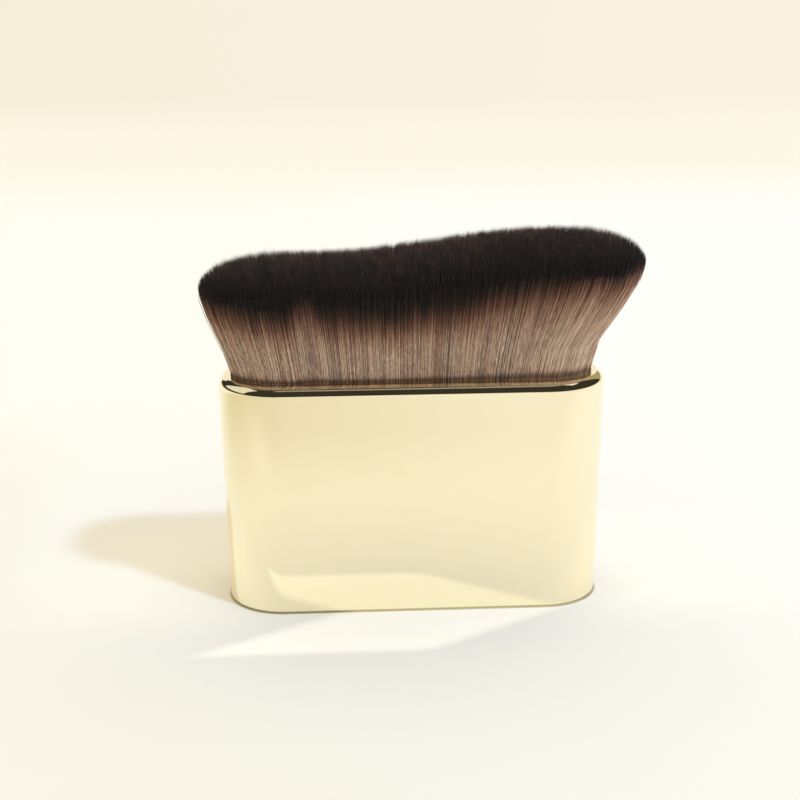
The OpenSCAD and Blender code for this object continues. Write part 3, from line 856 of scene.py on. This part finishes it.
dye_point_z = free_z[:, DYE_POINT:DYE_POINT + 1]
dip = np.where(free_z <= dye_point_z, DYE_MAP * (free_z - LIP_Z) / (dye_point_z - LIP_Z),
               DYE_MAP + (free_z - dye_point_z) / MM_PER_MAP)
dip = np.clip(np.hstack([np.zeros((u.size, 1)), dip]), *MAP_RANGE)
# Stray tips end at the brown of the map: thinner dye, with the light through them painted in
dip[stray > STRAY_BROWN, -1] = TIP_MAP
hair_box = np.round([line.min((0, 1)), line.max((0, 1))], 2)
print("hair spans", hair_box[0], "to", hair_box[1], "mm")

# %% [markdown]
# ### Fibres as one mesh
# Every fibre has a ring of three points at each level of its line and a single point at its tip.
# The last ring is the thinnest. Faces are the same for every fibre, so their corner numbers are
# written once and shifted. The faces' own map holds the fibre's tone across and its place along
# the dye upwards, so one small picture can colour the whole head.

# %% Fibre mesh
FIBRE_R, SIZE_RANGE = 0.069, (0.85, 1.15)
RING = 3
TAPER = np.array([1.0, 1.0, 1.0, 1.0, 1.0, 0.75])
CAP_MAP = 0.002


def fibre_faces(levels):
    """Corner numbers of one fibre's triangles: its root cap, its sides and its point."""
    triangles = [(0, 2, 1)]
    for level in range(levels - 1):
        for side in range(RING):
            here, beside = level * RING + side, level * RING + (side + 1) % RING
            triangles += [(here, beside, beside + RING), (here, beside + RING, here + RING)]
    last = (levels - 1) * RING
    triangles += [(last + side, last + (side + 1) % RING, levels * RING) for side in range(RING)]
    return np.array(triangles)


def fibre_mesh(name, chosen, material):
    """One piece from the chosen fibres. A ring's points lie at the fibre's radius, a third of a turn apart."""
    lines, turn = line[chosen], fibre_turn[chosen]
    count, levels = lines.shape[0], lines.shape[1] - 1
    angle = turn[:, None, None] + np.arange(RING) * 2 * math.pi / RING
    radius = FIBRE_R * fibre_size[chosen][:, None, None] * TAPER[None, :levels, None]
    ring = np.repeat(lines[:, :levels, None, :], RING, axis=2)
    ring[..., 0] += radius * np.cos(angle)
    ring[..., 1] += radius * np.sin(angle)
    points = np.concatenate([ring.reshape(count, -1, 3), lines[:, -1:, :]], axis=1)
    pattern = fibre_faces(levels)
    shift = points.shape[1] * np.arange(count)[:, None, None]
    piece = mesh_from(name, points.reshape(-1, 3), (pattern[None] + shift).reshape(-1, 3), material)
    across = np.append(np.tile([0.2, 0.5, 0.8], levels), 0.5)
    upwards = np.repeat(dip[chosen][:, :levels], RING, axis=1)
    upwards = np.concatenate([upwards, dip[chosen][:, -1:]], axis=1)
    tone_x = (tone_column[chosen][:, None, None] + across[pattern][None]) / TONES
    dip_y = upwards[:, pattern]
    # One corner of the root cap is lifted, so that the cap's map has an area
    dip_y[:, 0, 0] += CAP_MAP
    uv = np.stack([np.broadcast_to(tone_x, dip_y.shape), dip_y], axis=3)
    piece.data.uv_layers.new(name="OFBake").data.foreach_set("uv", uv.astype(np.float32).ravel())
    return piece


fibre_turn = random.uniform(0.0, 2 * math.pi, u.size)
fibre_size = random.uniform(*SIZE_RANGE, u.size)

# %% [markdown]
# ### Fibre finish
# The fibre is PBT, a clear polyester spun fine and tapered, dyed in the mass to mixed browns and
# greys and then dipped black. It is smooth, so it has a soft gloss along its length, and its tone
# drifts a little from lip to tip. Here a fibre is about 0.14 mm thick, a little over the real
# 0.1 mm, so that it still shows. The first millimetre above the lip is darkened with painted shade, for the
# hair's own shade there.

# %% Fibre material
DRIFT, DRIFTS_PER_MAP = 0.25, 20.0


def dyed_fibre():
    """Tapered PBT fibre: mixed natural tones that pass through soft brown to near black."""
    material, tree = new_material("dyed_pbt_fibre")
    fibre_map = add_node(tree, "ShaderNodeUVMap", {"uv_map": "OFBake"})
    parts = add_node(tree, "ShaderNodeSeparateXYZ", Vector=fibre_map.outputs["UV"])
    # The tone drifts along each fibre: about ten changes from the lip to the dye line
    drift_place = add_node(tree, "ShaderNodeMapping", Vector=fibre_map.outputs["UV"],
                           Scale=(TONES, DRIFTS_PER_MAP, 1.0))
    drift = add_node(tree, "ShaderNodeTexNoise", {"noise_dimensions": "2D"}, Vector=drift_place.outputs[0],
                     Scale=1.0, Detail=1.0, Roughness=0.5)
    shift = add_node(tree, "ShaderNodeMapRange", Value=drift.outputs["Fac"], From_Min=0.25, From_Max=0.75,
                     To_Min=-DRIFT, To_Max=DRIFT)
    tone = add_node(tree, "ShaderNodeMath", {"operation": "ADD", "use_clamp": True}, _0=parts.outputs["X"],
                    _1=shift.outputs[0])
    natural = add_node(tree, "ShaderNodeValToRGB", Fac=tone.outputs[0])
    fill_ramp(natural, [(0.0, "#987665"), (0.15, "#AF8B76"), (0.35, "#C6A791"), (0.55, "#EAD2BD"),
                        (0.75, "#BFAC98"), (0.9, "#B5998B"), (1.0, "#A08377")])
    # What is left of the natural colour: darkened by painted shade at the lip, then all of it, and none past
    # the dye line
    left = add_node(tree, "ShaderNodeValToRGB", Fac=parts.outputs["Y"])
    fill_ramp(left, [(0.012, "#E6DCD4"), (0.028, "#A89A90"), (0.042, "#B5A89E"), (0.07, "#FFFFFF"),
                     (0.24, "#FFFFFF"), (0.34, "#F6EDE8"), (0.42, "#DFCFC6"), (0.485, "#C1A79B"),
                     (0.52, "#8C7168"), (0.545, "#4E3D37"), (0.575, "#000000")])
    kept = mix_colours(tree, 1.0, natural.outputs["Color"], left.outputs["Color"], "MULTIPLY")
    dyed = mix_colours(tree, 1.0, kept, linear("#2E2826"), "ADD")
    # Thin tips turn brown: thinner dye, with painted light that passes through them
    tip = add_node(tree, "ShaderNodeMapRange", {"interpolation_type": "SMOOTHSTEP"},
                   Value=parts.outputs["Y"], From_Min=0.86, From_Max=TIP_MAP)
    tip_and_painted_through_light = mix_colours(tree, tip.outputs[0], dyed, linear("#75564B"))
    shader = add_node(tree, "ShaderNodeBsdfPrincipled", Base_Color=tip_and_painted_through_light, Roughness=0.6,
                      IOR=1.5, Specular_IOR_Level=0.2)
    finish_material(tree, shader)
    return material


fibre_finish = dyed_fibre()

# %% [markdown]
# The real head is set in three bunches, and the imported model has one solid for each. The end
# bunches start where the fibres are drawn in. Each bunch is made in a few slices from front to
# back, as one mesh of all its fibres would be too heavy to handle.

# %% Bunches of fibres
LOW_EDGE, HIGH_EDGE = -DRAWN_FROM, DRAWN_FROM
bunches = {"low": u < LOW_EDGE, "middle": (u >= LOW_EDGE) & (u <= HIGH_EDGE), "high": u > HIGH_EDGE}
slices = {"low": 3, "middle": 6, "high": 3}
for bunch, inside in bunches.items():
    depth_edges = np.quantile(v[inside], np.linspace(0.0, 1.0, slices[bunch] + 1))
    depth_edges[-1] += 1e-6
    for number in range(slices[bunch]):
        chosen = inside & (v >= depth_edges[number]) & (v < depth_edges[number + 1])
        piece = fibre_mesh(f"hair_{bunch}_{number + 1}", np.flatnonzero(chosen), fibre_finish)
        declare(piece, "synthetic_fibre", f"bristles_{bunch}")

# %% [markdown]
# ### Root blocks
# The fibres of each bunch are bonded into a slab of resin that stands on the bed in the cup. It
# is hidden once the brush is together, but without it the fibres would hang on nothing. Each slab
# is the cup's rounded plan cut straight where it meets the next one: the loop's points past the
# cut are drawn back onto it. Both ends of the stack close in a ring that shrinks to the middle.

# %% Root blocks
BUNCH_GAP, BLOCK_EDGE_R, END_RING_INSET = 0.2, 0.15, 0.6
# Resin-soaked roots: brown and satin, with the fibre ends as a fine speckle
bonded_roots = inner_material("resin_bonded_roots", "#5A4334", "#8A6A50", 0.3, 0.4, bump_depth=0.03)
bed_half_w, bed_half_d = bed_high.x, bed_high.y
low_seam, high_seam = LOW_EDGE * FIELD_HALF_W, HIGH_EDGE * FIELD_HALF_W
cuts = {"low": (-bed_half_w, low_seam - BUNCH_GAP / 2),
        "middle": (low_seam + BUNCH_GAP / 2, high_seam - BUNCH_GAP / 2),
        "high": (high_seam + BUNCH_GAP / 2, bed_half_w)}
end_inset = END_RING_INSET * bed_half_d
insets = np.array([end_inset, BLOCK_EDGE_R, 0.0, 0.0, BLOCK_EDGE_R, end_inset])
levels = bed_high.z + np.array([0.0, 0.0, BLOCK_EDGE_R, ROOT_T - BLOCK_EDGE_R, ROOT_T, ROOT_T])
for bunch, (low_cut, high_cut) in cuts.items():
    middle_x = (low_cut + high_cut) / 2
    plan_points = stack_loops([bed_half_w], [bed_half_d], [ROOT_R], [0.0], loop_plan(8, 8))[0]
    plan_x, plan_y = np.clip(plan_points[:, 0], low_cut, high_cut) - middle_x, plan_points[:, 1]
    shrink = (1 - insets / bed_half_d)[:, None]
    rings = np.stack([middle_x + plan_x * shrink, plan_y * shrink,
                      np.broadcast_to(levels[:, None], (len(levels), len(plan_x)))], axis=2)
    middles = np.array([[middle_x, 0.0, levels[0]], [middle_x, 0.0, levels[-1]]])
    count = rings.shape[1]
    wall = grid_faces(len(levels), count, close_rows=False)
    wall = np.concatenate([wall[:, [0, 1, 2]], wall[:, [0, 2, 3]]])
    here, beside = np.arange(count), (np.arange(count) + 1) % count
    bottom = np.stack([beside, here, np.full(count, rings.shape[0] * count)], axis=1)
    top_row = (rings.shape[0] - 1) * count
    top = np.stack([top_row + here, top_row + beside, np.full(count, rings.shape[0] * count + 1)], axis=1)
    points = np.concatenate([rings.reshape(-1, 3), middles])
    block = mesh_from(f"root_block_{bunch}", points, np.concatenate([wall, bottom, top]), bonded_roots,
                      math.radians(30))
    declare(block, "synthetic_fibre", f"bristles_{bunch}")
